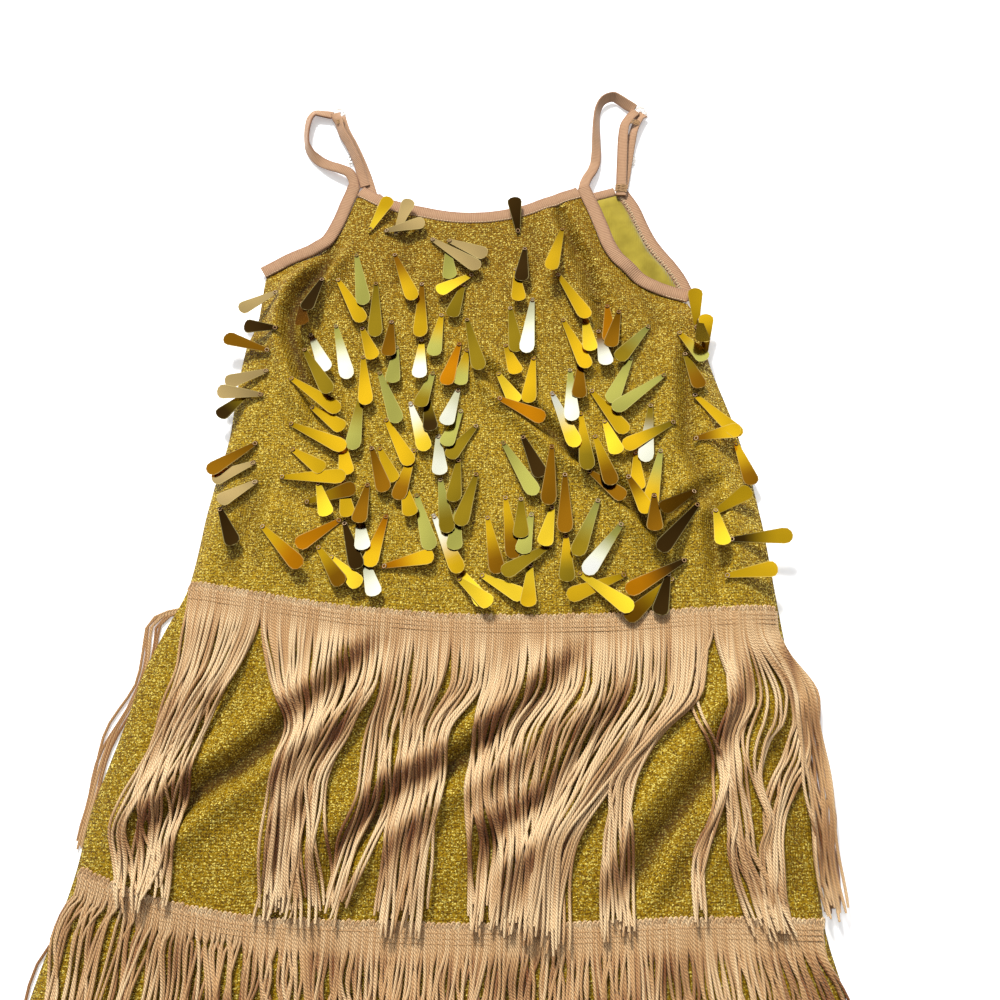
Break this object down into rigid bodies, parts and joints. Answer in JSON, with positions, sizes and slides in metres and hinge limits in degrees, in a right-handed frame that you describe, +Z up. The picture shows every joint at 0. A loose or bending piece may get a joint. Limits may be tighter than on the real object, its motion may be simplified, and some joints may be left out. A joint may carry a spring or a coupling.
{
  "type": "latin dance dress",
  "caption": "Child's dance dress with narrow looped shoulder straps, glitter knit body with scattered sequins and two tiers of long fringe round the skirt, laid flat on its back.",
  "frame": {"origin": "middle of the underside of the whole dress's box, on the surface it lies on", "axes": "+Y from the hem to the straps, +X to the right of someone who looks at the front, +Z up out of the front"},
  "size_m": [0.3832, 0.608, 0.0148],
  "materials": {
    "glitter_knit": "old gold knit with a fine glitter surface and loose sequins of the same colour",
    "binding_tan": "tan elastic binding with a fine rib and a soft sheen",
    "fringe_champagne": "twisted champagne chainette yarn with a silky sheen",
    "clear_plastic": "clear moulded plastic, smooth and glossy"
  },
  "bodies": {
    "root": {"front_panel": "glitter_knit", "back_panel": "glitter_knit", "neck_binding_front": "binding_tan", "neck_binding_back": "binding_tan", "armhole_binding_left_front": "binding_tan", "armhole_binding_left_back": "binding_tan", "armhole_binding_right_front": "binding_tan", "armhole_binding_right_back": "binding_tan", "strap_left_front": "binding_tan", "strap_left_back": "binding_tan", "strap_right_front": "binding_tan", "strap_right_back": "binding_tan", "ring_left": "clear_plastic", "ring_right": "clear_plastic", "slider_left": "clear_plastic", "slider_right": "clear_plastic", "fringe_upper_front": "fringe_champagne", "fringe_upper_back": "fringe_champagne", "fringe_lower_front": "fringe_champagne", "fringe_lower_back": "fringe_champagne"}
  },
  "joints": []
}
